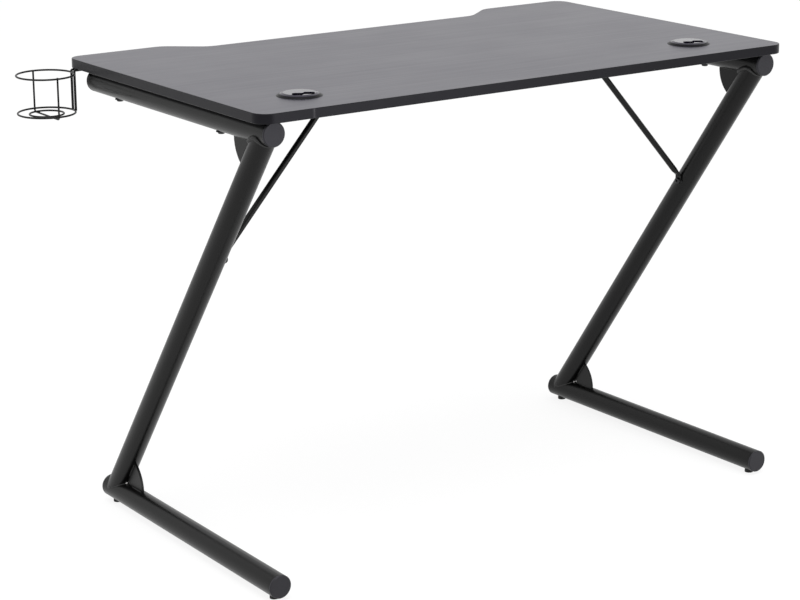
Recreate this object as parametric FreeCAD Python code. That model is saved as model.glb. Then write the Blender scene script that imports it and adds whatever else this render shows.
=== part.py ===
import FreeCAD, Part
import math
import os

from FreeCAD import Vector

# Desk frame: +X to the user's right, +Y to the rear, +Z up, floor at z = 0.
# Shapes are made about the middle of the tabletop and moved to the origin on export.

# Tabletop
top_length = 1000.0
top_depth = 590.0
top_height = 740.0
board_thickness = 15.0
top_corner_radius = 24.0
recess_depth = 48.5
recess_floor_length = 534.0
recess_end_run = 60.0
recess_curve_radius = 40.0

# Edge band
band_thickness = 1.0
band_bevel = 0.6
band_seam_gap = 0.8
band_seam_from_end = 90.0

# Side frames of round tube
tube_diameter = 37.0
tube_wall = 1.5
frame_from_end = 30.0
rail_front_setback = 43.0
rail_rear_setback = 12.5
foot_front_setback = 38.5
foot_rear_setback = 7.5
leg_end_setback = 20.5
foot_toe_out = 8.0

# Gusset plates
gusset_radius = 52.0
gusset_thickness = 4.0
gusset_notch_radius = 9.0

# End caps
cap_head = 4.0
cap_bevel = 1.5
cap_seam_bevel = 0.5
cap_skirt_length = 10.0
cap_skirt_wall = 2.0
cap_fit = 0.1

# Pads under the feet
pad_diameter = 14.0
pad_height = 5.0
pad_wrap = 2.0
pad_cap_gap = 2.0
pad_stem_diameter = 6.0
pad_lip_diameter = 8.0
pad_lip_height = 2.0
pad_lip_gap = 1.0
pad_fit = 0.2

# Braces
brace_diameter = 10.0
brace_bolt_height = 483.0
brace_top_from_middle = 235.0
brace_tab_width = 13.0
brace_tab_thickness = 2.2
brace_tab_length = 9.0
brace_taper_length = 15.0

# Bolts, washers, inserts and rivet nuts
bolt_diameter = 6.0
bolt_head_diameter = 10.5
bolt_head_height = 3.0
bolt_head_round = 1.5
bolt_hole_clearance = 0.4
thread_clearance = 0.05
socket_width = 4.0
socket_depth = 2.0
bolt_end_gap = 2.0
washer_diameter = 16.0
washer_thickness = 1.2
rail_bolt_from_front = 77.0
rail_bolt_gusset_gap = 30.6
insert_diameter = 9.0
insert_length = 11.0
brace_bolt_length = 13.0
rivet_nut_diameter = 9.0
rivet_nut_length = 11.0
rivet_flange_diameter = 12.0
rivet_flange_thickness = 0.6

# Wood screws
screw_diameter = 4.0
screw_bite = 11.0
screw_point = 4.0
screw_head_diameter = 8.5
screw_head_height = 2.6
screw_head_round = 1.4
cross_span = 4.4
cross_slot_width = 1.1
cross_depth = 1.4

# Cable grommets
grommet_from_end = 125.0
grommet_from_rear = 95.0
grommet_hole_diameter = 60.0
grommet_fit = 0.2
grommet_flange_overhang = 4.5
grommet_flange_height = 2.8
grommet_flange_slope = 4.2
grommet_seat_depth = 0.4
grommet_wall = 1.8
grommet_sleeve_depth = 19.0
lid_overhang = 1.8
lid_thickness = 1.8
lid_rim_height = 0.3
lid_rim_slope = 5.0
lid_turn = 34.0
lid_skirt_depth = 8.0
lid_skirt_wall = 1.6
lid_fit = 0.3
slot_end_margin = 9.5
slot_width = 18.0
slot_shift = 6.0
slot_offset = 11.0
slot_stagger = 4.1
slot_step_run = 1.5
slot_corner_radius = 5.0

# Cup holder of wire
cup_wire_diameter = 3.0
hanger_wire_diameter = 4.0
cup_ring_diameter = 91.0
cup_base_diameter = 54.0
cup_ring_spacing = 60.5
cup_base_drop = 1.5
cup_from_front = 26.0
hanger_gap = 10.0
hanger_bend = 2.5
hanger_end_clearance = 0.6
hanger_screw_from_end = 30.0
hanger_screw_spacing = 22.0
hanger_end_margin = 10.0
weld_gap = 0.02

# Cuts run past what they cut by this much
overrun = 5.0
# Straight runs shorter than this are left out of a path
shortest_run = 0.001

up = Vector(0, 0, 1)
rearward = Vector(0, 1, 0)
rightward = Vector(1, 0, 0)

half_length = top_length / 2
half_depth = top_depth / 2
tube_radius = tube_diameter / 2
underside = top_height - board_thickness
frame_x = half_length - frame_from_end
rail_height = underside - tube_radius
foot_height = pad_height + tube_radius
rail_front = -half_depth + rail_front_setback
rail_rear = half_depth - rail_rear_setback
foot_front = -half_depth + foot_front_setback
foot_rear = half_depth - foot_rear_setback
leg_top = Vector(frame_x, rail_rear - leg_end_setback, rail_height)
leg_foot = Vector(frame_x, foot_front + leg_end_setback, foot_height)
leg_direction = (leg_top - leg_foot).normalize()
toe_angle = math.degrees(math.atan2(foot_toe_out, foot_rear - leg_foot.y))
pad_from_end = cap_head + cap_skirt_length + pad_cap_gap + pad_lip_diameter / 2
grommet_x = half_length - grommet_from_end
grommet_y = half_depth - grommet_from_rear
grommet_flange_diameter = grommet_hole_diameter + 2 * grommet_flange_overhang
lid_skirt_diameter = grommet_hole_diameter - 2 * (grommet_fit + grommet_wall + lid_fit)
lid_hollow_diameter = lid_skirt_diameter - 2 * lid_skirt_wall
lid_diameter = lid_skirt_diameter + 2 * lid_overhang
slot_length = lid_hollow_diameter - 2 * slot_end_margin

cup_ring_radius = cup_ring_diameter / 2
hanger_standoff = cup_ring_radius + (cup_wire_diameter + hanger_wire_diameter) / 2 + weld_gap
hanger_x = half_length + hanger_end_clearance + hanger_wire_diameter / 2
cup_x = hanger_x + math.sqrt(hanger_standoff ** 2 - (hanger_gap / 2) ** 2)
cup_y = -half_depth + cup_from_front
cup_top = underside - hanger_wire_diameter / 2 - hanger_bend
cup_bottom = cup_top - cup_ring_spacing
cup_base = cup_bottom - cup_base_drop
cup_outer_radius = cup_ring_radius + cup_wire_diameter / 2
hanger_reach = hanger_screw_from_end + hanger_screw_spacing + hanger_end_margin
right_reach = cup_x + cup_outer_radius
front_reach = max(half_depth, cup_outer_radius - cup_y)

# The origin lies on the floor under the middle of the whole outline, cup holder included
origin = Vector((right_reach - half_length) / 2, (half_depth - front_reach) / 2, 0)


def corner_arc(before, corner, after, radius):
    """Tangent arc that rounds one corner, as its two ends and its middle point."""
    back = (before - corner).normalize()
    ahead = (after - corner).normalize()
    half_angle = back.getAngle(ahead) / 2
    inward = (back + ahead).normalize()
    tangent = radius / math.tan(half_angle)
    middle = corner + inward * (radius / math.sin(half_angle) - radius)
    return corner + back * tangent, middle, corner + ahead * tangent


def bent_path(points, radii, closed=False):
    """Straight runs joined by tangent arcs, with one radius for each point."""
    count = len(points)
    stops = []
    for i, point in enumerate(points):
        if not closed and i in (0, count - 1):
            stops.append((point, None, point))
        else:
            stops.append(corner_arc(points[i - 1], point, points[(i + 1) % count], radii[i]))
    edges = []
    for i, (start, middle, end) in enumerate(stops):
        if middle:
            edges.append(Part.Arc(start, middle, end).toShape())
        if closed or i < count - 1:
            following = stops[(i + 1) % count][0]
            if end.distanceToPoint(following) > shortest_run:
                edges.append(Part.LineSegment(end, following).toShape())
    return Part.Wire(Part.__sortEdges__(edges))


def bent_wire(points, radii, diameter):
    """Round wire bent along a path, with one radius for each point."""
    path = bent_path(points, radii)
    section = Part.Circle(points[0], points[1] - points[0], diameter / 2)
    return path.makePipeShell([Part.Wire(section.toShape())], True, False)


def rod(start, end, diameter):
    """Round bar from one point to another."""
    return Part.makeCylinder(diameter / 2, start.distanceToPoint(end), start, end - start)


def ring(centre, diameter, wire_diameter):
    """Closed ring of round wire, lying flat."""
    return Part.makeTorus(diameter / 2, wire_diameter / 2, centre, up)


def plate(wire, base, height):
    """Flat outline drawn at z = 0, raised to its base and given its height."""
    solid = Part.Face(wire).extrude(up * height)
    solid.translate(up * base)
    return solid


def rim_edges(disc, middle):
    """The circle of a disc whose centre is the given point."""
    return [e for e in disc.Edges if e.Closed and e.CenterOfMass.distanceToPoint(middle) < shortest_run]


def rounded_head(base, direction, diameter, height, edge_round):
    """Round screw head that stands on its base, with its outer rim rounded."""
    head = Part.makeCylinder(diameter / 2, height, base, direction)
    crown = base + direction * height
    return head.makeFillet(edge_round, rim_edges(head, crown))


def hex_socket(crown, direction):
    """Hexagonal hole for a key, from past the crown of a head down to its depth."""
    across = direction.cross(rearward).normalize()
    along = direction.cross(across)
    corner_radius = socket_width / math.sqrt(3)
    mouth = crown - direction * overrun
    corners = []
    for i in range(7):
        angle = math.radians(60 * i)
        corners.append(mouth + (across * math.cos(angle) + along * math.sin(angle)) * corner_radius)
    return Part.Face(Part.makePolygon(corners)).extrude(direction * (overrun + socket_depth))


def cross_recess(crown):
    """Two crossed slots in the crown of a head that looks down."""
    slots = []
    for length, width in ((cross_span, cross_slot_width), (cross_slot_width, cross_span)):
        corner = crown - Vector(length / 2, width / 2, overrun)
        slots.append(Part.makeBox(length, width, overrun + cross_depth, corner))
    return slots[0].fuse(slots[1]).removeSplitter()


def bolt(seat, direction, length):
    """Button-head bolt: the head under its seat, the shank along the direction."""
    head = rounded_head(seat, -direction, bolt_head_diameter, bolt_head_height, bolt_head_round)
    shank = rod(seat, seat + direction * length, bolt_diameter)
    crown = seat - direction * bolt_head_height
    return head.fuse(shank).cut(hex_socket(crown, direction)).removeSplitter()


def wood_screw(seat, grip):
    """Pan-head screw driven up from its seat, through its grip and into the board."""
    head = rounded_head(seat, -up, screw_head_diameter, screw_head_height, screw_head_round)
    shoulder = seat + up * (grip + screw_bite - screw_point)
    shank = rod(seat, shoulder, screw_diameter)
    point = Part.makeCone(screw_diameter / 2, 0, screw_point, shoulder, up)
    crown = seat - up * screw_head_height
    return head.fuse([shank, point]).cut(cross_recess(crown)).removeSplitter()


def washer(top, diameter, bore):
    """Flat washer below the height of its top face."""
    disc = rod(top - up * washer_thickness, top, diameter)
    return disc.cut(rod(top - up * (washer_thickness + overrun), top + up * overrun, bore))


def mirrored(shape):
    """The same piece on the other side of the desk."""
    return shape.mirror(Vector(0, 0, 0), rightward)


def top_outline():
    """Outline of the tabletop: rounded corners, and a recess with S-shaped ends in front."""
    front, rear = -half_depth, half_depth
    floor = front + recess_depth
    half_floor = recess_floor_length / 2
    half_mouth = half_floor + recess_end_run
    points = [
        Vector(half_length, rear, 0),
        Vector(-half_length, rear, 0),
        Vector(-half_length, front, 0),
        Vector(-half_mouth, front, 0),
        Vector(-half_floor, floor, 0),
        Vector(half_floor, floor, 0),
        Vector(half_mouth, front, 0),
        Vector(half_length, front, 0),
    ]
    corner, curve = top_corner_radius, recess_curve_radius
    return bent_path(points, [corner] * 3 + [curve] * 4 + [corner], closed=True)


def gusset_corner(joint, along_level, along_leg):
    """Point where the outer faces of two tubes meet, in the acute corner between them."""
    half_angle = along_level.getAngle(along_leg) / 2
    return joint + (along_level + along_leg).normalize() * (tube_radius / math.sin(half_angle))


def rail_bolt_places():
    """Points on the underside of the board where the bolts go in, above the rails."""
    front = rail_front + rail_bolt_from_front
    gusset_front = gusset_corner(leg_top, -rearward, -leg_direction).y - gusset_radius
    rear = gusset_front - rail_bolt_gusset_gap - washer_diameter / 2
    return [Vector(side * frame_x, y, underside) for side in (1, -1) for y in (front, rear)]


def brace_bolt_place():
    """Point on the inner side of the right leg where the brace is bolted."""
    share = (brace_bolt_height - leg_foot.z) / (leg_top.z - leg_foot.z)
    on_axis = leg_foot + (leg_top - leg_foot) * share
    return on_axis - rightward * tube_radius


def brace_screw_places():
    """Points on the underside of the board where the braces are screwed."""
    y = brace_bolt_place().y
    return [Vector(side * brace_top_from_middle, y, underside) for side in (1, -1)]


def hanger_screw_places():
    """Points on the underside of the board where the cup holder's hanger is screwed."""
    first = half_length - hanger_screw_from_end
    return [Vector(x, cup_y, underside) for x in (first, first - hanger_screw_spacing)]


def grommet_places():
    """Middle of each grommet on the work surface, right then left."""
    return [Vector(side * grommet_x, grommet_y, top_height) for side in (1, -1)]


def make_tabletop():
    """Board inside its edge band, with the grommet holes and the blind holes for fasteners."""
    board = plate(top_outline().makeOffset2D(-band_thickness), underside, board_thickness)
    cuts = []
    for place in grommet_places():
        below = place - up * (board_thickness + overrun)
        seat = place - up * grommet_seat_depth
        cuts.append(rod(below, place + up * overrun, grommet_hole_diameter))
        cuts.append(rod(seat, place + up * overrun, grommet_flange_diameter + 2 * grommet_fit))
    for place in rail_bolt_places():
        cuts.append(rod(place - up * overrun, place + up * insert_length, insert_diameter))
    for place in brace_screw_places() + hanger_screw_places():
        shoulder = place + up * (screw_bite - screw_point)
        cuts.append(rod(place - up * overrun, shoulder, screw_diameter))
        cuts.append(Part.makeCone(screw_diameter / 2, 0, screw_point, shoulder, up))
    return board.cut(cuts)


def make_edge_band():
    """Strip round the board with bevelled edges, open at its butt joint in the rear edge."""
    outer = plate(top_outline(), underside, board_thickness)
    rims = [e for e in outer.Edges if e.BoundBox.ZLength < shortest_run]
    outer = outer.makeChamfer(band_bevel, rims)
    inner_outline = top_outline().makeOffset2D(-band_thickness)
    inner = plate(inner_outline, underside - overrun, board_thickness + 2 * overrun)
    seam_x = half_length - band_seam_from_end
    seam_corner = Vector(seam_x, half_depth - band_thickness - overrun, underside - overrun)
    seam_height = board_thickness + 2 * overrun
    seam = Part.makeBox(band_seam_gap, band_thickness + 2 * overrun, seam_height, seam_corner)
    return outer.cut([inner, seam])


def level_tube(front, rear, height):
    """Tube of the right frame along Y, between the heads of its two end caps."""
    start = Vector(frame_x, front + cap_head, height)
    end = Vector(frame_x, rear - cap_head, height)
    past = rearward * overrun
    return rod(start, end, tube_diameter).cut(rod(start - past, end + past, tube_diameter - 2 * tube_wall))


def toed_out(shape):
    """A piece of the right foot, turned about the foot of the leg so that the foot toes out."""
    turned = shape.copy()
    turned.rotate(leg_foot, up, -toe_angle)
    return turned


def level_space(front, rear, height):
    """Space that a level tube of the right frame takes, run past its ends."""
    past = rearward * tube_diameter
    return rod(Vector(frame_x, front, height) - past, Vector(frame_x, rear, height) + past, tube_diameter)


def rail_space():
    """Space that the right rail takes."""
    return level_space(rail_front, rail_rear, rail_height)


def foot_space():
    """Space that the right foot takes."""
    return toed_out(level_space(foot_front, foot_rear, foot_height))


def make_rail():
    """Top rail with a clearance hole through both walls for each bolt."""
    rail = level_tube(rail_front, rail_rear, rail_height)
    holes = []
    for place in rail_bolt_places():
        if place.x > 0:
            low = place - up * (tube_diameter + overrun)
            holes.append(rod(low, place + up * overrun, bolt_diameter + bolt_hole_clearance))
    return rail.cut(holes)


def make_leg():
    """Slanting tube, coped to the rail and the foot, with the hole for the rivet nut."""
    solid = rod(leg_foot, leg_top, tube_diameter)
    past = leg_direction * overrun
    bore = rod(leg_foot - past, leg_top + past, tube_diameter - 2 * tube_wall)
    place = brace_bolt_place()
    hole = rod(place - rightward * overrun, place + rightward * tube_radius, rivet_nut_diameter)
    return solid.cut([bore, rail_space(), foot_space(), hole])


def pad_places():
    """Points on the floor under the middle line of the right foot, front then rear."""
    return [Vector(frame_x, y, 0) for y in (foot_front + pad_from_end, foot_rear - pad_from_end)]


def make_foot():
    """Foot tube with a hole in its lower wall for the stem of each pad."""
    foot = level_tube(foot_front, foot_rear, foot_height)
    hole_diameter = pad_stem_diameter + 2 * pad_fit
    holes = [rod(place, place + up * foot_height, hole_diameter) for place in pad_places()]
    return toed_out(foot.cut(holes))


def make_gusset(joint, along_level, along_leg, level_tube_space):
    """Fan-shaped plate in the acute corner of two tubes, clipped at the corner itself."""
    corner = gusset_corner(joint, along_level, along_leg)
    out = rightward * (gusset_thickness / 2)
    reach = 2 * (gusset_radius + corner.distanceToPoint(joint))
    wedge_points = [joint, joint + along_level * reach, joint + along_leg * reach, joint]
    wedge = Part.Face(Part.makePolygon([p - out for p in wedge_points])).extrude(out * 2)
    fan = rod(corner - out, corner + out, 2 * gusset_radius).common(wedge)
    past = leg_direction * tube_diameter
    leg_space = rod(leg_foot - past, leg_top + past, tube_diameter)
    notch = rod(corner - out * 2, corner + out * 2, 2 * gusset_notch_radius)
    return fan.cut([level_tube_space, leg_space, notch])


def make_cap(end, outward):
    """End cap of a tube: a bevelled head outside it and a hollow skirt inside."""
    head_base = end - outward * cap_head
    head = Part.makeCylinder(tube_radius, cap_head, head_base, outward)
    head = head.makeChamfer(cap_bevel, rim_edges(head, end))
    head = head.makeChamfer(cap_seam_bevel, rim_edges(head, head_base))
    skirt_diameter = tube_diameter - 2 * (tube_wall + cap_fit)
    skirt_end = head_base - outward * cap_skirt_length
    skirt = rod(skirt_end, head_base, skirt_diameter)
    hollow = rod(skirt_end - outward * overrun, head_base, skirt_diameter - 2 * cap_skirt_wall)
    return head.fuse(skirt.cut(hollow)).removeSplitter()


def make_pad(place):
    """Pad with a saddle for the foot tube and a stem that snaps into its lower wall."""
    foot_axis = Vector(place.x, place.y, foot_height)
    past = rearward * pad_diameter
    body = rod(place, place + up * (pad_height + pad_wrap), pad_diameter)
    saddle = rod(foot_axis - past, foot_axis + past, tube_diameter)
    lip_base = place + up * (pad_height + tube_wall + pad_lip_gap)
    stem = rod(place, lip_base, pad_stem_diameter)
    lip = rod(lip_base, lip_base + up * pad_lip_height, pad_lip_diameter)
    return toed_out(body.cut(saddle).fuse([stem, lip]).removeSplitter())


def make_brace():
    """Round bar of the right brace, drawn out flat at both ends for its bolt and its screw."""
    bolt_place = brace_bolt_place()
    screw_place = brace_screw_places()[0]
    inboard = -rightward
    low_middle = bolt_place + inboard * (rivet_flange_thickness + brace_tab_thickness / 2)
    high_middle = screw_place - up * (brace_tab_thickness / 2)
    low_bend = low_middle + up * brace_tab_length
    high_bend = high_middle + rightward * brace_tab_length
    run = (high_bend - low_bend).normalize()
    low_start = low_bend + run * brace_taper_length
    high_start = high_bend - run * brace_taper_length
    low_tab = flat_tab(low_middle, low_bend, inboard, bolt_diameter + bolt_hole_clearance)
    high_tab = flat_tab(high_middle, high_bend, up, screw_diameter + bolt_hole_clearance)
    low_taper = taper(low_bend, inboard, low_start, run)
    high_taper = taper(high_bend, -up, high_start, run)
    bar = rod(low_start, high_start, brace_diameter)
    return bar.fuse([low_tab, high_tab, low_taper, high_taper]).removeSplitter()


def flat_tab(middle, bend, normal, bore):
    """Flat end of a brace: rounded about its hole, square at the bend."""
    out = normal * (brace_tab_thickness / 2)
    side = rearward * (brace_tab_width / 2)
    corners = [middle + side, bend + side, bend - side, middle - side, middle + side]
    strip = Part.Face(Part.makePolygon([p - out for p in corners])).extrude(out * 2)
    end = rod(middle - out, middle + out, brace_tab_width)
    hole = rod(middle - out * 2, middle + out * 2, bore)
    return strip.fuse(end).cut(hole)


def taper(bend, tab_normal, start, run):
    """Ruled transition from the flat section at the bend to the round section of the bar."""
    out = tab_normal * (brace_tab_thickness / 2)
    side = rearward * (brace_tab_width / 2)
    quarters = ((1, 1), (1, -1), (-1, -1), (-1, 1), (1, 1))
    flat = Part.makePolygon([bend + out * a + side * b for a, b in quarters])
    across = rearward.cross(run)
    if across.dot(tab_normal) < 0:
        across = -across
    radius = brace_diameter / 2
    diagonal = radius / math.sqrt(2)
    corners = [start + across * (a * diagonal) + rearward * (b * diagonal) for a, b in quarters]
    crests = [across, -rearward, -across, rearward]
    arcs = []
    for i, crest in enumerate(crests):
        arcs.append(Part.Arc(corners[i], start + crest * radius, corners[i + 1]).toShape())
    return Part.makeLoft([flat, Part.Wire(arcs)], True, True)


def make_rivet_nut():
    """Nut in the inner wall of the right leg, with its flange under the brace."""
    place = brace_bolt_place()
    body = rod(place, place + rightward * rivet_nut_length, rivet_nut_diameter)
    flange = rod(place - rightward * rivet_flange_thickness, place, rivet_flange_diameter)
    bore_end = place + rightward * (rivet_nut_length + overrun)
    bore = rod(place - rightward * overrun, bore_end, bolt_diameter + 2 * thread_clearance)
    return body.fuse(flange).cut(bore).removeSplitter()


def make_brace_bolt():
    """Bolt of the right brace, from the inside of the desk into the rivet nut."""
    seat = brace_bolt_place() - rightward * (rivet_flange_thickness + brace_tab_thickness)
    return bolt(seat, rightward, brace_bolt_length)


def make_sleeve(place):
    """Grommet sleeve: a sloping flange seated in the board, and a tube through the hole."""
    seat = place - up * grommet_seat_depth
    crown = place + up * grommet_flange_height
    rim_radius = grommet_flange_diameter / 2
    crown_radius = rim_radius - grommet_flange_slope
    rim = rod(seat, place, grommet_flange_diameter)
    slope = Part.makeCone(rim_radius, crown_radius, grommet_flange_height, place, up)
    outside = grommet_hole_diameter - 2 * grommet_fit
    low = place - up * grommet_sleeve_depth
    bore = rod(low - up * overrun, crown + up * overrun, outside - 2 * grommet_wall)
    return rim.fuse([slope, rod(low, seat, outside)]).cut(bore).removeSplitter()


def slot_outline(place):
    """Outline of the cable slot: two rounded halves, staggered to make an S."""
    middle = place.x - slot_shift
    left, right = middle - slot_length / 2, middle + slot_length / 2
    low = place.y + slot_offset - slot_width / 2
    high = low + slot_width
    points = [
        Vector(left, low - slot_stagger, 0),
        Vector(middle - slot_step_run, low - slot_stagger, 0),
        Vector(middle + slot_step_run, low + slot_stagger, 0),
        Vector(right, low + slot_stagger, 0),
        Vector(right, high + slot_stagger, 0),
        Vector(middle + slot_step_run, high + slot_stagger, 0),
        Vector(middle - slot_step_run, high - slot_stagger, 0),
        Vector(left, high - slot_stagger, 0),
    ]
    soft = slot_step_run
    sharp = slot_corner_radius
    return bent_path(points, [sharp, soft, soft, sharp, sharp, soft, soft, sharp], closed=True)


def make_lid(place):
    """Grommet lid: a disc with a sloping rim and a cable slot, turned, and a skirt in the sleeve."""
    base = place + up * grommet_flange_height
    rim = base + up * lid_rim_height
    rim_radius = lid_diameter / 2
    slope = Part.makeCone(rim_radius, rim_radius - lid_rim_slope, lid_thickness - lid_rim_height, rim, up)
    disc = rod(base, rim, lid_diameter).fuse(slope)
    skirt_end = base - up * lid_skirt_depth
    skirt = rod(skirt_end, base, lid_skirt_diameter)
    hollow = rod(skirt_end - up * overrun, base, lid_hollow_diameter)
    slot = plate(slot_outline(place), skirt_end.z - overrun, lid_skirt_depth + lid_thickness + 2 * overrun)
    lid = disc.cut(slot).fuse(skirt.cut(hollow)).removeSplitter()
    lid.rotate(place, up, -lid_turn)
    return lid


def make_cross_wire():
    """Bent wire of the cup holder: down inside the rings, under the base ring and up again."""
    half = cup_ring_radius - cup_wire_diameter - weld_gap
    low = cup_base - cup_wire_diameter - weld_gap
    high = cup_top + cup_wire_diameter / 2
    points = [
        Vector(cup_x, cup_y - half, high),
        Vector(cup_x, cup_y - half, low),
        Vector(cup_x, cup_y + half, low),
        Vector(cup_x, cup_y + half, high),
    ]
    return bent_wire(points, [cup_bottom - low] * len(points), cup_wire_diameter)


def make_hanger():
    """Hairpin of thicker wire: up beside the rings, then under the board and back."""
    level = underside - hanger_wire_diameter / 2
    low = cup_bottom - cup_wire_diameter / 2
    end = half_length - hanger_reach
    near, far = cup_y - hanger_gap / 2, cup_y + hanger_gap / 2
    points = [
        Vector(hanger_x, near, low),
        Vector(hanger_x, near, level),
        Vector(end, near, level),
        Vector(end, far, level),
        Vector(hanger_x, far, level),
        Vector(hanger_x, far, low),
    ]
    turn = hanger_gap / 2
    return bent_wire(points, [0, hanger_bend, turn, turn, hanger_bend, 0], hanger_wire_diameter)


def make_rail_fasteners():
    """Bolts, washers and threaded inserts that hold the board to the rails."""
    bolts, washers, inserts = [], [], []
    for place in rail_bolt_places():
        washer_top = place - up * tube_diameter
        seat = washer_top - up * washer_thickness
        bolts.append(bolt(seat, up, washer_thickness + tube_diameter + insert_length - bolt_end_gap))
        washers.append(washer(washer_top, washer_diameter, bolt_diameter + bolt_hole_clearance))
        sleeve = rod(place, place + up * insert_length, insert_diameter)
        bore_end = place + up * (insert_length + overrun)
        bore = rod(place - up * overrun, bore_end, bolt_diameter + 2 * thread_clearance)
        inserts.append(sleeve.cut(bore))
    return bolts, washers, inserts


def make_hanger_fasteners():
    """Screws and washers that clamp the hairpin to the underside of the board."""
    screws, washers = [], []
    for place in hanger_screw_places():
        washer_top = place - up * hanger_wire_diameter
        seat = washer_top - up * washer_thickness
        screws.append(wood_screw(seat, washer_thickness + hanger_wire_diameter))
        washers.append(washer(washer_top, washer_diameter, screw_diameter + bolt_hole_clearance))
    return screws, washers


def make_parts():
    """Every piece of the desk by its name."""
    parts = {"tabletop": make_tabletop(), "edge_band": make_edge_band()}
    frame = {
        "top_rail": make_rail(),
        "leg_tube": make_leg(),
        "foot_tube": make_foot(),
        "upper_gusset": make_gusset(leg_top, -rearward, -leg_direction, rail_space()),
        "lower_gusset": make_gusset(leg_foot, rearward, leg_direction, foot_space()),
        "rail_front_cap": make_cap(Vector(frame_x, rail_front, rail_height), -rearward),
        "rail_rear_cap": make_cap(Vector(frame_x, rail_rear, rail_height), rearward),
        "foot_front_cap": toed_out(make_cap(Vector(frame_x, foot_front, foot_height), -rearward)),
        "foot_rear_cap": toed_out(make_cap(Vector(frame_x, foot_rear, foot_height), rearward)),
        "brace": make_brace(),
    }
    for name, place in zip(("front_pad", "rear_pad"), pad_places()):
        frame[name] = make_pad(place)
    for name, shape in frame.items():
        parts["right_" + name] = shape
        parts["left_" + name] = mirrored(shape)
    for side, place in zip(("right", "left"), grommet_places()):
        parts[side + "_grommet_sleeve"] = make_sleeve(place)
        parts[side + "_grommet_lid"] = make_lid(place)
    brace_bolt = make_brace_bolt()
    rivet_nut = make_rivet_nut()
    tab_grip = brace_tab_thickness
    brace_screws = [wood_screw(place - up * tab_grip, tab_grip) for place in brace_screw_places()]
    rail_bolts, rail_washers, inserts = make_rail_fasteners()
    hanger_screws, hanger_washers = make_hanger_fasteners()
    groups = {
        "brace_bolts": [brace_bolt, mirrored(brace_bolt)],
        "brace_rivet_nuts": [rivet_nut, mirrored(rivet_nut)],
        "brace_screws": brace_screws,
        "rail_bolts": rail_bolts,
        "rail_washers": rail_washers,
        "board_inserts": inserts,
        "cup_holder_screws": hanger_screws,
        "cup_holder_washers": hanger_washers,
    }
    for name, solids in groups.items():
        parts[name] = Part.makeCompound(solids)
    middle = Vector(cup_x, cup_y, 0)
    parts["cup_holder_top_ring"] = ring(middle + up * cup_top, cup_ring_diameter, cup_wire_diameter)
    parts["cup_holder_bottom_ring"] = ring(middle + up * cup_bottom, cup_ring_diameter, cup_wire_diameter)
    parts["cup_holder_base_ring"] = ring(middle + up * cup_base, cup_base_diameter, cup_wire_diameter)
    parts["cup_holder_cross_wire"] = make_cross_wire()
    parts["cup_holder_hanger"] = make_hanger()
    return parts


os.makedirs("parts", exist_ok=True)
for node, shape in make_parts().items():
    shape.translate(-origin)
    shape.exportStep(os.path.join("parts", node + ".step"))
    print(node, len(shape.Solids), shape.isValid(), round(shape.Volume))
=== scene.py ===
import math

import bpy
import numpy as np
from bpy.props import FloatProperty, FloatVectorProperty, PointerProperty
from mathutils import Matrix, Vector


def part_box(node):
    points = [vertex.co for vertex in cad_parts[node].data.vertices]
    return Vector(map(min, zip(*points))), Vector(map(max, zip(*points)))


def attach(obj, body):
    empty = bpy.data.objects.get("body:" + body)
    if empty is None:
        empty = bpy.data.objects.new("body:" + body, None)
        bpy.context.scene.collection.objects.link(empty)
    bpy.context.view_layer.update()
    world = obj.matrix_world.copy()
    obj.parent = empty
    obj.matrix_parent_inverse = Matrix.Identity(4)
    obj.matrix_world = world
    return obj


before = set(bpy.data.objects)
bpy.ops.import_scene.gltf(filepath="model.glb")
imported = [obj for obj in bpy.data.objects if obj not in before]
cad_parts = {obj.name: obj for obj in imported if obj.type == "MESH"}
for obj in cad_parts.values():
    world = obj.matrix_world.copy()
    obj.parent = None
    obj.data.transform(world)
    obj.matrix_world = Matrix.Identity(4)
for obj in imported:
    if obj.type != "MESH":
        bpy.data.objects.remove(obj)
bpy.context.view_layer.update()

bl_info = {
    "name": "Z-frame desk",
    "version": (1, 0, 0),
    "blender": (4, 5, 0),
    "location": "3D View > Sidebar > Desk",
    "description": "Finishes, weld beads and studio for the Z-frame desk",
    "category": "Object",
}

SIDES = ("right", "left")
PRINCIPLED = "Principled BSDF"
# Bluish sheen of the melamine and the plastics
COOL = (0.9, 0.88, 1.0, 1)
# Sockets of a Mix node that mixes colours
MIX_LOW, MIX_HIGH, MIX_RESULT = 6, 7, 2
# Points round a bead, and along the bead of a joint, the bead of a gusset plate and the seam
BEAD_SIDES, JOINT_STEPS, GUSSET_STEPS, SEAM_STEPS = 16, 640, 200, 60
# Points round a blob of weld, and from one pole of it to the other
BLOB_SIDES, BLOB_RINGS = 18, 12


# Properties


def colour(name, description, default):
    """A colour that the user can change."""
    return FloatVectorProperty(
        name=name, description=description, default=default, subtype="COLOR", size=3, min=0, max=1
    )


def size(name, description, default):
    """A length in metres that the user can change."""
    return FloatProperty(name=name, description=description, default=default, unit="LENGTH", min=0)


def share(name, description, default):
    """A number from 0 to 1 that the user can change."""
    return FloatProperty(
        name=name, description=description, default=default, subtype="FACTOR", min=0, max=1
    )


def turn(name, description, default):
    """An angle in radians that the user can change."""
    return FloatProperty(name=name, description=description, default=default, subtype="ANGLE")


def spot(name, description, default):
    """A point in metres that the user can change."""
    return FloatVectorProperty(
        name=name, description=description, default=default, subtype="TRANSLATION", size=3
    )


def power(name, description, default):
    """A lamp's power in watts that the user can change."""
    return FloatProperty(name=name, description=description, default=default, unit="POWER", min=0)


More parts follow.
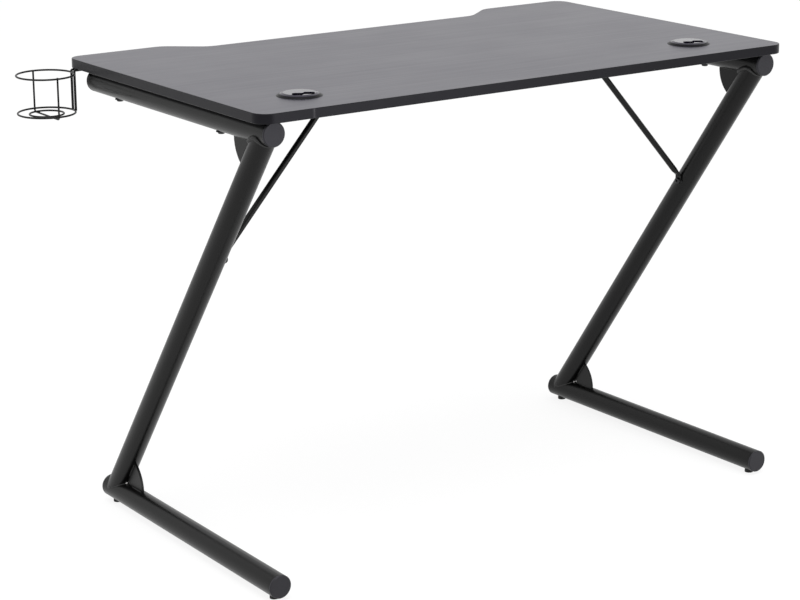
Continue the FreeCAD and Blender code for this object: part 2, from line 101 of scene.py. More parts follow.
class DeskFinishes(bpy.types.PropertyGroup):
    """Colours and roughness of the desk's surfaces."""

    laminate: colour("Laminate", "Melamine face of the board", (0.013, 0.0115, 0.021))
    laminate_streak: colour("Laminate streak", "Paler streaks in the melamine", (0.027, 0.0245, 0.040))
    laminate_roughness: share("Laminate roughness", "Satin of the melamine face", 0.325)
    band: colour("Edge band", "Plastic strip round the board", (0.004, 0.004, 0.005))
    band_roughness: share("Band roughness", "Satin of the strip", 0.34)
    seam: colour("Seam", "Glue in the butt joint of the strip", (0.125, 0.12, 0.13))
    seam_roughness: share("Seam roughness", "Dullness of the glue", 0.60)
    smear: share("Smear", "Share of glue in the smear beside the joint", 0.9)
    paint: colour("Frame paint", "Powder coat on the tubes, plates and braces", (0.004, 0.004, 0.004))
    paint_roughness: share("Paint roughness", "Gloss of the powder coat", 0.30)
    cap: colour("Cap plastic", "Moulded end caps", (0.016, 0.016, 0.0175))
    cap_roughness: share("Cap roughness", "Fine grain of the end caps", 0.45)
    rubber: colour("Pad rubber", "Pads under the feet", (0.012, 0.012, 0.012))
    rubber_roughness: share("Rubber roughness", "Dullness of the pads", 0.72)
    grommet: colour("Grommet plastic", "Sleeves of the cable holes", (0.002, 0.002, 0.0024))
    grommet_roughness: share("Grommet roughness", "Satin of the sleeves", 0.34)
    lid: colour("Lid plastic", "Lids of the cable holes", (0.008, 0.006, 0.017))
    lid_roughness: share("Lid roughness", "Gloss of the lids' plastic", 0.18)
    lid_polish: share("Lid polish", "Clear gloss on the flat top of a lid", 0.45)
    lid_rim: size("Lid rim", "Width of the sloping rim of a lid, which has no clear gloss", 0.005)
    wire: colour("Cup holder wire", "Powder coat on the cup holder", (0.004, 0.004, 0.004))
    wire_roughness: share("Wire roughness", "Gloss of the cup holder's coat", 0.36)
    bolt: colour("Black steel", "Blackened bolts, screws and washers", (0.045, 0.045, 0.047))
    bolt_roughness: share("Black steel roughness", "Sheen of the blackened steel", 0.42)
    zinc: colour("Zinc plate", "Inserts and rivet nuts", (0.58, 0.59, 0.61))
    zinc_roughness: share("Zinc roughness", "Sheen of the zinc plate", 0.34)
    bare: colour("Bare steel", "Welds that the paint didn't reach", (0.62, 0.61, 0.60))
    bare_roughness: share("Bare steel roughness", "Sheen of the bare welds", 0.30)


class DeskWelds(bpy.types.PropertyGroup):
    """Sizes of the weld beads and of the seam in the edge band."""

    joint_from_end: size("Joint from end", "From the end of a tube to the axis of the leg", 0.0205)
    upper_bead: size("Upper bead", "Radius of the bead between a leg and its rail", 0.0036)
    lower_bead: size("Lower bead", "Radius of the bead between a leg and its foot", 0.0040)
    lower_sink: size("Lower sink", "Depth to which that bead is ground into the tubes", 0.0038)
    soft_turn: share("Soft turn", "How far a bead rounds the sharp turn of its joint", 0.36)
    bead_fade: share("Bead fade", "How much a bead thins towards the end of its tube", 0.7)
    gusset_bead: size("Gusset bead", "Radius of the bead along a gusset plate", 0.0010)
    gusset_start: size("Gusset start", "From the inner corner to the first bead of a gusset", 0.020)
    corner_blob: size("Corner blob", "Radius of the bare weld in the clipped corner of a gusset", 0.0024)
    ripple_pitch: size("Ripple pitch", "Length of one ripple of a bead", 0.0022)
    ripple_depth: share("Ripple depth", "Height of a ripple as a share of the radius", 0.16)
    nugget: size("Spot weld", "Radius of a spot weld of the cup holder", 0.0017)
    hanger_wire: size("Hanger wire", "Diameter of the wire that carries the cup holder", 0.004)
    seam_from_end: size("Seam from end", "From the right end of the board to the butt joint", 0.090)
    seam_width: size("Seam width", "Gap of the butt joint", 0.0008)
    seam_sink: size("Seam sink", "Depth of the glue below the face of the strip", 0.0001)
    smear_width: size("Smear width", "Reach of the smeared glue to each side", 0.0035)


class DeskStage(bpy.types.PropertyGroup):
    """Floor, light and camera."""

    floor_size: size("Floor size", "Side of the square floor", 60.0)
    floor_albedo: share("Floor colour", "Share of the light that the floor gives back", 0.2)
    floor_glow: share("Floor glow", "Light that makes the floor white where it is seen", 0.86)
    ambient: FloatProperty(name="Ambient", description="Strength of the even light", default=0.7, min=0)
    top_light: power("Top light", "Power of the soft box over the desk", 70)
    top_light_size: size("Top light size", "Side of the soft box over the desk", 3.0)
    top_light_place: spot("Top light place", "Middle of the soft box over the desk", (0.6, 0.9, 3.6))
    low_light: power("Low light", "Power of the soft box beside the camera", 13)
    low_light_size: size("Low light size", "Side of the soft box beside the camera", 1.4)
    low_light_place: spot("Low light place", "Middle of the soft box beside the camera", (-0.9, 2.5, 0.4))
    view_azimuth: turn("Azimuth", "Camera's turn from the rear towards the right", 0.6047)
    view_elevation: turn("Elevation", "Camera's height above the horizon", 0.2734)
    view_roll: turn("Roll", "Camera's lean", -0.0064)
    view_distance: size("Distance", "From the camera to its target", 3.9462)
    view_target: spot("Target", "Point in the middle of the picture", (0.0114, 0.0099, 0.3326))
    view_lens: FloatProperty(name="Lens", description="Focal length", default=108.23, unit="CAMERA")


# Shader expressions


class Channel:
    """One output of a shader tree. Arithmetic on it adds the Math nodes."""

    def __init__(self, tree, output):
        self.tree = tree
        self.output = output

    def node(self, kind, settings=None, inputs=None, output=0):
        """Adds a node of any kind: its settings first, then the values or links of its sockets."""
        made = self.tree.nodes.new(kind)
        for name, value in (settings or {}).items():
            setattr(made, name, value)
        for key, value in (inputs or {}).items():
            if isinstance(value, Channel):
                self.tree.links.new(value.output, made.inputs[key])
            else:
                made.inputs[key].default_value = value
        return Channel(self.tree, made.outputs[output])

    def math(self, operation, first, second):
        """One Math node on two values."""
        return self.node("ShaderNodeMath", {"operation": operation}, {0: first, 1: second})

    def __add__(self, other):
        return self.math("ADD", self, other)

    def __sub__(self, other):
        return self.math("SUBTRACT", self, other)

    def __rsub__(self, other):
        return self.math("SUBTRACT", other, self)

    def __mul__(self, other):
        return self.math("MULTIPLY", self, other)

    __radd__ = __add__
    __rmul__ = __mul__


def stretched(place, scale):
    """Coordinates scaled by axis, so that a pattern is drawn out along the smallest scale."""
    return place.node("ShaderNodeMapping", None, {"Vector": place, "Scale": scale})


def noise(place, scale, detail=2.0):
    """Soft random values about a half, in patches about 1 / scale wide."""
    return place.node("ShaderNodeTexNoise", None, {"Vector": place, "Scale": scale, "Detail": detail})


def vary(values, spread):
    """Random values about a half, moved to lie about 0 and scaled to a spread."""
    return (values - 0.5) * spread


def axis(place, index):
    """One of the three coordinates."""
    return place.node("ShaderNodeSeparateXYZ", None, {0: place}, output=index)


def tint(place, factor, low, high):
    """Colour between two colours by a factor. A colour is three numbers or a channel."""
    low, high = (end if isinstance(end, Channel) else (*end, 1) for end in (low, high))
    sockets = {0: factor, MIX_LOW: low, MIX_HIGH: high}
    return place.node("ShaderNodeMix", {"data_type": "RGBA"}, sockets, output=MIX_RESULT)


def shade(place, factor, base, darkest, lightest):
    """A base colour times a ratio, which goes from the darkest to the lightest by a factor."""
    low, high = (tuple(min(1.0, c * ratio) for c in base) for ratio in (darkest, lightest))
    return tint(place, factor, low, high)


def relief(place, height, depth, strength):
    """Normal of a surface whose height goes up to the given depth."""
    return place.node(
        "ShaderNodeBump", None, {"Height": height, "Distance": depth, "Strength": strength}
    )


class Finish:
    """A material under way: its shader and its Object coordinates."""

    def __init__(self, name, constants):
        self.material = bpy.data.materials.new(name)
        self.material.use_nodes = True
        tree = self.material.node_tree
        self.shader = tree.nodes[PRINCIPLED]
        for key, value in constants.items():
            self.shader.inputs[key].default_value = value
        self.place = Channel(tree, tree.nodes.new("ShaderNodeTexCoord").outputs["Object"])

    def join(self, channels):
        """Links channels to the shader's sockets and gives the finished material."""
        for key, channel in channels.items():
            channel.tree.links.new(channel.output, self.shader.inputs[key])
        return self.material


# Finishes


def laminate_finish(finishes):
    """Black melamine: long faint streaks, fine pearl grain, satin that varies with both."""
    finish = Finish("laminate", {"IOR": 1.5, "Specular Tint": COOL})
    place = finish.place
    streak = noise(stretched(place, (5, 190, 190)), scale=1.0, detail=5.0)
    pearl = noise(place, scale=1500, detail=1.0)
    cloud = noise(place, scale=7)
    pearl_share = 0.3
    tone = streak * (1 - pearl_share) + pearl * pearl_share
    return finish.join({
        "Base Color": tint(place, tone, finishes.laminate, finishes.laminate_streak),
        "Roughness": finishes.laminate_roughness + vary(streak, 0.10) + vary(cloud, 0.06),
        "Normal": relief(place, pearl, depth=0.00002, strength=0.3),
    })


def band_finish(finishes, welds):
    """Black plastic strip: fine lines drawn along it, a slight unevenness and a smear of glue at its joint,
    which falls off in a straight line on both sides."""
    finish = Finish("edge_band", {"IOR": 1.28, "Specular Tint": COOL})
    place = finish.place
    drawn = noise(stretched(place, (12, 12, 1900)), scale=1.0, detail=3.0)
    cloud = noise(place, scale=30)
    plain = shade(place, drawn, finishes.band, darkest=0.7, lightest=1.4)
    off = place.math("ABSOLUTE", axis(place, 0) - seam_place(welds).x, 0)
    near = place.math("MAXIMUM", 1 - off * (1 / welds.smear_width), 0)
    rear = place.math("GREATER_THAN", axis(place, 1), 0)
    smear = near * rear * noise(place, scale=420)
    smear_dullness = 0.2
    satin = finishes.band_roughness + vary(drawn, 0.12) + vary(cloud, 0.08)
    return finish.join({
        "Base Color": tint(place, smear * finishes.smear, plain, finishes.seam),
        "Roughness": satin + smear * smear_dullness,
        "Normal": relief(place, drawn, depth=0.00002, strength=0.25),
    })


def paint_finish(name, base, roughness, ior, dimple):
    """Powder coat: the dimples of orange peel, fine specks and a soft change of gloss."""
    finish = Finish(name, {"IOR": ior})
    place = finish.place
    peel = noise(place, scale=520, detail=1.5)
    speck = noise(place, scale=3600, detail=1.0)
    cloud = noise(place, scale=14)
    speck_share = 0.6
    tone = peel * (1 - speck_share) + speck * speck_share
    return finish.join({
        "Base Color": shade(place, tone, base, darkest=0.6, lightest=1.4),
        "Roughness": roughness + vary(cloud, 0.10) + vary(speck, 0.10),
        "Normal": relief(place, peel, depth=dimple, strength=0.3),
    })


def cap_finish(finishes):
    """Moulded plastic: an even spark-eroded grain and faint flow marks."""
    finish = Finish("cap_plastic", {"IOR": 1.45, "Specular Tint": COOL})
    place = finish.place
    grain = noise(place, scale=2600, detail=1.0)
    flow = noise(place, scale=60, detail=3.0)
    return finish.join({
        "Base Color": shade(place, flow, finishes.cap, darkest=0.8, lightest=1.2),
        "Roughness": finishes.cap_roughness + vary(grain, 0.16) + vary(flow, 0.08),
        "Normal": relief(place, grain, depth=0.00003, strength=0.4),
    })


def rubber_finish(finishes):
    """Dull rubber with a mottled bloom."""
    finish = Finish("pad_rubber", {"IOR": 1.45})
    place = finish.place
    bloom = noise(place, scale=240, detail=4.0)
    return finish.join({
        "Base Color": shade(place, bloom, finishes.rubber, darkest=0.6, lightest=1.7),
        "Roughness": finishes.rubber_roughness + vary(bloom, 0.2),
        "Normal": relief(place, bloom, depth=0.0001, strength=0.3),
    })


def moulded(place, base, roughness):
    """Channels of injection-moulded plastic: nearly smooth, with faint sink marks and hairlines."""
    sink = noise(place, scale=90)
    hairline = noise(stretched(place, (2400, 160, 160)), scale=1.0)
    return {
        "Base Color": shade(place, sink, base, darkest=0.8, lightest=1.25),
        "Roughness": roughness + vary(hairline, 0.08) + vary(sink, 0.05),
        "Normal": relief(place, sink, depth=0.00005, strength=0.15),
    }


def sleeve_finish(finishes):
    """Moulded plastic with a dark satin."""
    finish = Finish("grommet_plastic", {"IOR": 1.2, "Specular Tint": COOL})
    return finish.join(moulded(finish.place, finishes.grommet, finishes.grommet_roughness))


def lid_finish(finishes, node):
    """Moulded plastic with a clear gloss on the flat top of a lid: where the squares of the two distances
    from its axis add up to less than the square of the radius at which the sloping rim begins."""
    finish = Finish(f"{node}_plastic", {"IOR": 1.3, "Specular Tint": COOL, "Coat Roughness": 0.08})
    place = finish.place
    low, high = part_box(node)
    middle = (low + high) / 2
    flat_radius = (high.x - low.x) / 2 - finishes.lid_rim
    off_x, off_y = axis(place, 0) - middle.x, axis(place, 1) - middle.y
    flat = place.math("LESS_THAN", off_x * off_x + off_y * off_y, flat_radius ** 2)
    gloss = {"Coat Weight": flat * finishes.lid_polish}
    return finish.join(moulded(place, finishes.lid, finishes.lid_roughness) | gloss)


def steel_finish(name, base, roughness):
    """Plated or blackened steel: a crystalline mottle and fine rolling lines."""
    finish = Finish(name, {"Metallic": 1.0})
    place = finish.place
    mottle = noise(place, scale=900, detail=3.0)
    rolled = noise(stretched(place, (300, 300, 5000)), scale=1.0)
    return finish.join({
        "Base Color": shade(place, mottle, base, darkest=0.7, lightest=1.3),
        "Roughness": roughness + vary(mottle, 0.2) + vary(rolled, 0.1),
        "Normal": relief(place, rolled, depth=0.00002, strength=0.2),
    })


def seam_finish(finishes):
    """Hardened glue: pale, uneven and dull."""
    finish = Finish("seam_glue", {"IOR": 1.45})
    place = finish.place
    clot = noise(place, scale=700, detail=3.0)
    return finish.join({
        "Base Color": shade(place, clot, finishes.seam, darkest=0.5, lightest=1.5),
        "Roughness": finishes.seam_roughness + vary(clot, 0.3),
        "Normal": relief(place, clot, depth=0.0001, strength=0.4),
    })


def dress(material, nodes):
    """Gives CAD nodes a material."""
    for node in nodes:
        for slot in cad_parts[node].material_slots:
            slot.material = material


def both(*names):
    """The names of a piece on the right and on the left."""
    return [f"{side}_{name}" for name in names for side in SIDES]


# Surfaces


def unit(vectors):
    """Vectors divided by their lengths."""
    return vectors / np.linalg.norm(vectors, axis=-1, keepdims=True)


def skin(points, looped):
    """Vertices and faces of a tube: point (i, j) joins (i + 1, j + 1), round the ring and along the path.
    A looped tube closes on itself, and an open one gets a fan at each end."""
    rows, columns = points.shape[:2]
    index = np.arange(rows * columns).reshape(rows, columns)
    here = index if looped else index[:-1]
    ahead = np.roll(index, -1, axis=0) if looped else index[1:]
    corners = [here, np.roll(here, -1, axis=1), np.roll(ahead, -1, axis=1), ahead]
    faces = np.stack(corners, axis=-1).reshape(-1, 4).tolist()
    vertices = points.reshape(-1, 3)
    if not looped:
        ends = np.stack([points[0].mean(axis=0), points[-1].mean(axis=0)])
        first = [np.full(columns, rows * columns), np.roll(index[0], -1), index[0]]
        last = [np.full(columns, rows * columns + 1), index[-1], np.roll(index[-1], -1)]
        faces += np.stack(first, axis=-1).tolist() + np.stack(last, axis=-1).tolist()
        vertices = np.concatenate([vertices, ends])
    return vertices, faces


def outward(vertices, faces):
    """The faces turned outwards: the sum of a . (b x c) over their corners is six times the volume."""
    corners = np.array([face[:3] for face in faces] + [[f[0], *f[2:]] for f in faces if len(f) == 4])
    a, b, c = vertices[corners].transpose(1, 0, 2)
    volume = np.einsum("ij,ij->", a, np.cross(b, c))
    return faces if volume > 0 else [face[::-1] for face in faces]


def add_piece(name, shapes, material):
    """One object from several closed surfaces, riding on the desk."""
    vertices, faces, start = [], [], 0
    for points, looped in shapes:
        own_vertices, own_faces = skin(points, looped)
        faces += [[start + i for i in face] for face in outward(own_vertices, own_faces)]
        vertices.append(own_vertices)
        start += len(own_vertices)
    mesh = bpy.data.meshes.new(name)
    mesh.from_pydata(np.concatenate(vertices).tolist(), [], faces)
    mesh.polygons.foreach_set("use_smooth", np.ones(len(faces), dtype=bool))
    mesh.materials.append(material)
    piece = bpy.data.objects.new(name, mesh)
    bpy.context.scene.collection.objects.link(piece)
    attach(piece, "desk")
    return piece


def bead(path, away, looped, radius, welds):
    """Weld bead along a path: rings of one radius, or of a radius each, swollen by curved ripples. The
    radius at length s and angle a is 1 + depth (|sin(pi (s / pitch + bow cos^2 a))| - 2 / pi) times the
    bead's own, and an open bead tapers to its ends u = 1 and -1 as the square root of 1 - u^8."""
    bow = 0.5
    end_share = 0.001
    steps = np.roll(path, -1, axis=0) - path
    lengths = np.linalg.norm(steps, axis=1)
    along = np.concatenate([[0], np.cumsum(lengths)[:-1]])
    total = lengths.sum() if looped else along[-1]
    forward = np.roll(path, -1, axis=0) - np.roll(path, 1, axis=0)
    if not looped:
        forward[0], forward[-1] = steps[0], steps[-2]
    across = unit(np.cross(forward, away))
    away = unit(np.cross(across, forward))
    ripples = max(1, round(total / welds.ripple_pitch))
    angle = np.linspace(0, 2 * np.pi, BEAD_SIDES, endpoint=False)
    phase = ripples * along[:, None] / total + bow * np.cos(angle) ** 2
    swell = 1 + welds.ripple_depth * (np.abs(np.sin(np.pi * phase)) - 2 / np.pi)
    if not looped:
        middle = 2 * along / total - 1
        swell = swell * np.sqrt(np.maximum(1 - middle ** 8, end_share))[:, None]
    rings = swell[..., None] * np.broadcast_to(radius, len(path))[:, None, None]
    turned = np.cos(angle)[:, None] * across[:, None] + np.sin(angle)[:, None] * away[:, None]
    return path[:, None] + rings * turned, looped


def nugget(centre, radius, seed_angle, stretch=1.0):
    """Blob of weld: a ball whose radius is 1 + lump sin(3 a + seed) sin(b) times its own, a little flat and
    drawn out from side to side. The angle b stops short of the poles, where a fan closes the ball."""
    lump, height_share, pole_angle = 0.15, 0.9, 0.12
    b = np.linspace(pole_angle, np.pi - pole_angle, BLOB_RINGS)[:, None]
    a = np.linspace(0, 2 * np.pi, BLOB_SIDES, endpoint=False)
    swell = radius * (1 + lump * np.sin(3 * a + seed_angle) * np.sin(b))
    level = swell * np.sin(b)
    height = height_share * swell * np.cos(b)
    ball = np.stack([stretch * level * np.cos(a), level * np.sin(a), height], axis=-1)
    return centre + ball, False


# Places taken from the frame


def middle_of(node):
    """Middle of a node's box."""
    low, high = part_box(node)
    return np.array((low + high) / 2)


def seam_place(welds):
    """Middle of the butt joint on the rear face of the edge band."""
    low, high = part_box("edge_band")
    x = high.x - welds.seam_from_end + welds.seam_width / 2
    return Vector((x, high.y, (low.z + high.z) / 2))


def seam_strip(welds):
    """Strip of glue up the butt joint: a rectangle as wide as the gap, carried along the height z and
    scaled by 1 + wander sin(wave z)."""
    depth_share, wander, wave = 1.2, 0.25, 2600
    low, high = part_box("edge_band")
    width = welds.seam_width
    rise = np.linspace(low.z + width, high.z - width, SEAM_STEPS)[:, None]
    face = np.array(seam_place(welds)) - [0, welds.seam_sink, 0]
    path = face * [1, 1, 0] + rise * [0, 0, 1]
    half, depth = width / 2, width * depth_share
    corners = np.array([[half, 0, 0], [-half, 0, 0], [-half, -depth, 0], [half, -depth, 0]])
    swell = 1 + wander * np.sin(wave * rise)
    return path[:, None] + swell[:, None] * corners, False


def tube_radius():
    """Half the width of a rail."""
    low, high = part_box("right_top_rail")
    return (high.x - low.x) / 2


def side_joints(side, welds):
    """Where the axis of a leg meets its rail and its foot, and the directions of the three tubes."""
    rail = middle_of(f"{side}_top_rail")
    rail_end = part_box(f"{side}_rail_rear_cap")[1].y
    top = np.array([rail[0], rail_end - welds.joint_from_end, rail[2]])
    front = middle_of(f"{side}_foot_front_cap")
    foot_direction = unit(middle_of(f"{side}_foot_rear_cap") - front)
    foot_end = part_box(f"{side}_foot_front_cap")[0].y
    reach = (foot_end + welds.joint_from_end - front[1]) / foot_direction[1]
    foot = front + foot_direction * reach
    leg = unit(top - foot)
    rearward = np.array([0.0, 1.0, 0.0])
    return (top, -leg, rearward), (foot, leg, foot_direction)


def cope_curve(joint, leg, tube, radius, sink, soft_turn):
    """Line where a leg ends on a tube of the same radius r. Round the leg by the angle a, in the plane of
    both axes at a = 0, it leaves the joint by r (|cos a| - cos a (u . n)) / (leg . n), where u is square to
    the leg and n square to the tube in that plane. The root of cos^2 a plus the squared softness stands for
    |cos a|, which rounds the turn. Also gives the direction away from both surfaces, and how far each point
    faces the near end of the tube, as |cos a| on that side and 0 on the other."""
    side = unit(np.cross(leg, tube))
    flat = np.cross(side, leg)
    normal = unit(leg - tube * (leg @ tube))
    a = np.linspace(0, 2 * np.pi, JOINT_STEPS, endpoint=False)[:, None]
    soft = np.hypot(np.cos(a), soft_turn)
    rise = radius * (soft - np.cos(a) * (flat @ normal)) / (leg @ normal)
    from_leg = np.cos(a) * flat + np.sin(a) * side
    path = joint + rise * leg + radius * from_leg
    offset = path - joint
    from_tube = unit(offset - (offset @ tube)[:, None] * tube)
    away = unit(from_leg + from_tube)
    endward = np.maximum(-np.sign(leg @ tube) * np.cos(a), 0)[:, 0]
    return path - sink * away, away, endward


def gusset_beads(joint, leg, tube, node, welds):
    """Beads on both faces of a gusset plate, along the tube and along the leg."""
    level = tube if tube @ leg > 0 else -tube
    low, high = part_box(node)
    corner, bisector = gusset_corner(joint, leg, tube)
    plate_end = high.y if level[1] > 0 else low.y
    reach = abs(plate_end - corner[1])
    side = np.array([1.0, 0.0, 0.0])
    steps = np.linspace(welds.gusset_start, reach - welds.gusset_bead, GUSSET_STEPS)[:, None]
    beads = []
    for face in (1, -1):
        start = corner + side * (face * (high.x - low.x) / 2)
        for run in (level, leg):
            inward = unit(bisector - run * (bisector @ run))
            away = np.tile(unit(side * face + inward), (len(steps), 1))
            beads.append(bead(start + steps * run, away, False, welds.gusset_bead, welds))
    return beads


def gusset_corner(joint, leg, tube):
    """Point where the surfaces of a leg and its tube meet in their acute corner, and the way out of it:
    along the bisector of the two axes, at the tube's radius over the sine of half their angle."""
    level = tube if tube @ leg > 0 else -tube
    bisector = unit(level + leg)
    return joint + bisector * (tube_radius() / math.sin(math.acos(level @ leg) / 2)), bisector


def cup_contacts(welds):
    """Points where the wires of the cup holder are welded to its rings. A hanger wire touches a ring at the
    angle whose sine is half the hairpin's width over the distance between the two wires' middles."""
    low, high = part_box("cup_holder_top_ring")
    wire = high.z - low.z
    radius = (high.x - low.x - wire) / 2
    hanger_low, hanger_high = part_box("cup_holder_hanger")
    lean = (hanger_high.y - hanger_low.y - welds.hanger_wire) / 2
    angle = math.asin(lean / (radius + (wire + welds.hanger_wire) / 2))
    outside, inside = radius + wire / 2, radius - wire / 2
    base_low, base_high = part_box("cup_holder_base_ring")
    base_radius = (base_high.x - base_low.x - wire) / 2
    points = []
    for end in (1, -1):
        for ring in ("cup_holder_top_ring", "cup_holder_bottom_ring"):
            hanger_side = np.array([-math.cos(angle), end * math.sin(angle), 0])
            points.append(middle_of(ring) + np.array([0, end * inside, 0]))
            points.append(middle_of(ring) + outside * hanger_side)
        points.append(middle_of("cup_holder_base_ring") + np.array([0, end * base_radius, -wire / 2]))
    return points


# Operators


class DESK_OT_finish_board(bpy.types.Operator):
    """Finish the board and its edge band"""

    bl_idname = "desk.finish_board"
    bl_label = "Finish board"

    def execute(self, context):
        finishes = context.scene.desk_finishes
        dress(laminate_finish(finishes), ["tabletop"])
        dress(band_finish(finishes, context.scene.desk_welds), ["edge_band"])
        return {"FINISHED"}


class DESK_OT_finish_frame(bpy.types.Operator):
    """Paint the tubes, gusset plates and braces"""

    bl_idname = "desk.finish_frame"
    bl_label = "Finish frame"

    def execute(self, context):
        finishes = context.scene.desk_finishes
        roughness = finishes.paint_roughness
        paint = paint_finish("frame_paint", finishes.paint, roughness, ior=1.30, dimple=0.00006)
        pieces = ("top_rail", "leg_tube", "foot_tube", "upper_gusset", "lower_gusset", "brace")
        dress(paint, both(*pieces))
        return {"FINISHED"}


class DESK_OT_finish_caps(bpy.types.Operator):
    """Finish the end caps of the tubes and the pads under the feet"""

    bl_idname = "desk.finish_caps"
    bl_label = "Finish caps and pads"

    def execute(self, context):
        finishes = context.scene.desk_finishes
        caps = both("rail_front_cap", "rail_rear_cap", "foot_front_cap", "foot_rear_cap")
        dress(cap_finish(finishes), caps)
        dress(rubber_finish(finishes), both("front_pad", "rear_pad"))
        return {"FINISHED"}


class DESK_OT_finish_grommets(bpy.types.Operator):
    """Finish the sleeves and lids of the cable holes"""

    bl_idname = "desk.finish_grommets"
    bl_label = "Finish grommets"

    def execute(self, context):
        finishes = context.scene.desk_finishes
        dress(sleeve_finish(finishes), both("grommet_sleeve"))
        for lid in both("grommet_lid"):
            dress(lid_finish(finishes, lid), [lid])
        return {"FINISHED"}


class DESK_OT_finish_fasteners(bpy.types.Operator):
    """Finish the bolts, screws, washers, inserts and rivet nuts"""

    bl_idname = "desk.finish_fasteners"
    bl_label = "Finish fasteners"

    def execute(self, context):
        finishes = context.scene.desk_finishes
        black = ["brace_bolts", "brace_screws", "rail_bolts", "rail_washers"]
        black += ["cup_holder_screws", "cup_holder_washers"]
        dress(steel_finish("fastener_black", finishes.bolt, finishes.bolt_roughness), black)
        plated = ["board_inserts", "brace_rivet_nuts"]
        dress(steel_finish("zinc_steel", finishes.zinc, finishes.zinc_roughness), plated)
        return {"FINISHED"}


class DESK_OT_finish_cup_holder(bpy.types.Operator):
    """Paint the wires of the cup holder and add its spot welds"""

    bl_idname = "desk.finish_cup_holder"
    bl_label = "Finish cup holder"

    def execute(self, context):
        finishes, welds = context.scene.desk_finishes, context.scene.desk_welds
        paint = paint_finish("cup_wire", finishes.wire, finishes.wire_roughness, ior=1.28, dimple=0.00002)
        wires = ("top_ring", "bottom_ring", "base_ring", "cross_wire", "hanger")
        dress(paint, [f"cup_holder_{wire}" for wire in wires])
        shapes = [nugget(point, welds.nugget, i) for i, point in enumerate(cup_contacts(welds))]
        add_piece("cup_holder_spot_welds", shapes, paint)
        return {"FINISHED"}


class DESK_OT_add_welds(bpy.types.Operator):
    """Add the weld beads at the joints of the tubes and along the gusset plates"""

    bl_idname = "desk.add_welds"
    bl_label = "Add weld beads"

    def execute(self, context):
        finishes, welds = context.scene.desk_finishes, context.scene.desk_welds
        paint = bpy.data.materials["frame_paint"]
        bare = steel_finish("bare_weld", finishes.bare, finishes.bare_roughness)
        levels = (("upper", welds.upper_bead, 0.0), ("lower", welds.lower_bead, welds.lower_sink))
        for side in SIDES:
            joints, plates, blobs = [], [], []
            for (level, radius, sink), joint in zip(levels, side_joints(side, welds)):
                path, away, endward = cope_curve(*joint, tube_radius(), sink, welds.soft_turn)
                joints.append(bead(path, away, True, radius * (1 - welds.bead_fade * endward), welds))
                plates += gusset_beads(*joint, f"{side}_{level}_gusset", welds)
                corner, outwards = gusset_corner(*joint)
                blob = corner + outwards * welds.corner_blob
                blobs.append(nugget(blob, welds.corner_blob, len(blobs), stretch=1.8))
            add_piece(f"{side}_corner_welds", blobs, bare)
            add_piece(f"{side}_joint_welds", joints, paint)
            add_piece(f"{side}_gusset_welds", plates, paint)
        return {"FINISHED"}


class DESK_OT_add_seam(bpy.types.Operator):
    """Fill the butt joint of the edge band with glue"""

    bl_idname = "desk.add_seam"
    bl_label = "Add band seam"

    def execute(self, context):
        glue = seam_finish(context.scene.desk_finishes)
        add_piece("band_seam_glue", [seam_strip(context.scene.desk_welds)], glue)
        return {"FINISHED"}


def seen_directly(tree):
    """1 for rays that show the background: from the camera, off a gloss or through glass."""
    path = tree.nodes.new("ShaderNodeLightPath")
    kinds = ("Camera", "Glossy", "Transmission")
    camera, glossy, through = (Channel(tree, path.outputs[f"Is {kind} Ray"]) for kind in kinds)
    return camera.math("MAXIMUM", camera.math("MAXIMUM", camera, glossy), through)


def set_world(stage):
    """Even white light, at full strength where the background is seen."""
    world = bpy.data.worlds.new("studio")
    world.use_nodes = True
    tree = world.node_tree
    background = tree.nodes["Background"]
    background.inputs["Color"].default_value = (1, 1, 1, 1)
    strength = stage.ambient + (1 - stage.ambient) * seen_directly(tree)
    tree.links.new(strength.output, background.inputs["Strength"])
    bpy.context.scene.world = world


def set_floor(stage):
    """Pale floor: it takes the desk's shadow, and glows as far as the background has to be white."""
    material = bpy.data.materials.new("studio_floor")
    material.use_nodes = True
    tree = material.node_tree
    shader = tree.nodes[PRINCIPLED]
    albedo = stage.floor_albedo
    shader.inputs["Base Color"].default_value = (albedo, albedo, albedo, 1)
    shader.inputs["Specular IOR Level"].default_value = 0
    shader.inputs["Emission Strength"].default_value = 1
    seen = seen_directly(tree)
    glow = tint(seen, seen, (0, 0, 0), (stage.floor_glow,) * 3)
    tree.links.new(glow.output, shader.inputs["Emission Color"])
    half = stage.floor_size / 2
    mesh = bpy.data.meshes.new("studio_floor")
    corners = [(-half, -half, 0), (half, -half, 0), (half, half, 0), (-half, half, 0)]
    mesh.from_pydata(corners, [], [(0, 1, 2, 3)])
    mesh.materials.append(material)
    floor = bpy.data.objects.new("studio_floor", mesh)
    bpy.context.scene.collection.objects.link(floor)


def set_light(name, energy, side, middle, target):
    """A square soft box, turned to the middle of the desk."""
    lamp = bpy.data.lights.new(name, "AREA")
    lamp.energy = energy
    lamp.size = side
    box = bpy.data.objects.new(name, lamp)
    box.location = middle
    aim = Vector(target) - box.location
    box.rotation_euler = aim.to_track_quat("-Z", "Y").to_euler()
    bpy.context.scene.collection.objects.link(box)


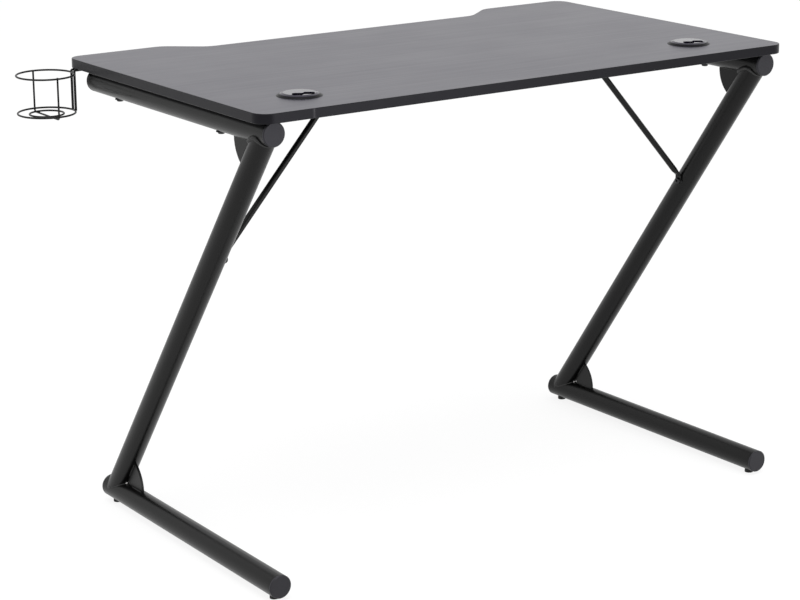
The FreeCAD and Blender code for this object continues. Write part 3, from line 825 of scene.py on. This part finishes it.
def set_camera(stage):
    """Camera on a sphere about its target, then leaned about its own axis."""
    azimuth, elevation = stage.view_azimuth, stage.view_elevation
    level = Vector((math.sin(azimuth), math.cos(azimuth), 0))
    back = level * math.cos(elevation) + Vector((0, 0, math.sin(elevation)))
    right = Vector((0, 0, 1)).cross(back).normalized()
    axes = Matrix((right, back.cross(right), back)).transposed()
    turned = axes @ Matrix.Rotation(stage.view_roll, 3, "Z")
    data = bpy.data.cameras.new("camera")
    data.sensor_fit = "HORIZONTAL"
    data.lens = stage.view_lens
    camera = bpy.data.objects.new("camera", data)
    stand = Vector(stage.view_target) + back * stage.view_distance
    camera.matrix_world = Matrix.Translation(stand) @ turned.to_4x4()
    bpy.context.scene.collection.objects.link(camera)
    bpy.context.scene.camera = camera


class DESK_OT_set_stage(bpy.types.Operator):
    """Set the floor, the light and the camera"""

    bl_idname = "desk.set_stage"
    bl_label = "Set stage"

    def execute(self, context):
        stage = context.scene.desk_stage
        context.scene.view_settings.view_transform = "Standard"
        set_world(stage)
        set_floor(stage)
        target = stage.view_target
        set_light("top_light", stage.top_light, stage.top_light_size, stage.top_light_place, target)
        set_light("low_light", stage.low_light, stage.low_light_size, stage.low_light_place, target)
        set_camera(stage)
        return {"FINISHED"}


OPERATORS = (
    DESK_OT_finish_board,
    DESK_OT_finish_frame,
    DESK_OT_finish_caps,
    DESK_OT_finish_grommets,
    DESK_OT_finish_fasteners,
    DESK_OT_finish_cup_holder,
    DESK_OT_add_welds,
    DESK_OT_add_seam,
    DESK_OT_set_stage,
)
GROUPS = {"desk_finishes": DeskFinishes, "desk_welds": DeskWelds, "desk_stage": DeskStage}


class DESK_PT_sidebar(bpy.types.Panel):
    """Steps that dress the desk"""

    bl_label = "Desk"
    bl_idname = "DESK_PT_sidebar"
    bl_space_type = "VIEW_3D"
    bl_region_type = "UI"
    bl_category = "Desk"

    def draw(self, context):
        for operator in OPERATORS:
            self.layout.operator(operator.bl_idname)


def register():
    """Makes the properties, operators and panel known."""
    for group in GROUPS.values():
        bpy.utils.register_class(group)
    for name, group in GROUPS.items():
        setattr(bpy.types.Scene, name, PointerProperty(type=group))
    for operator in OPERATORS:
        bpy.utils.register_class(operator)
    bpy.utils.register_class(DESK_PT_sidebar)


def unregister():
    """Takes the panel, operators and properties away again."""
    bpy.utils.unregister_class(DESK_PT_sidebar)
    for operator in reversed(OPERATORS):
        bpy.utils.unregister_class(operator)
    for name, group in GROUPS.items():
        delattr(bpy.types.Scene, name)
        bpy.utils.unregister_class(group)


def main():
    """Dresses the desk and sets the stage."""
    register()
    bpy.ops.desk.finish_board()
    bpy.ops.desk.finish_frame()
    bpy.ops.desk.finish_caps()
    bpy.ops.desk.finish_grommets()
    bpy.ops.desk.finish_fasteners()
    bpy.ops.desk.finish_cup_holder()
    bpy.ops.desk.add_welds()
    bpy.ops.desk.add_seam()
    bpy.ops.desk.set_stage()


if __name__ == "__main__":
    main()
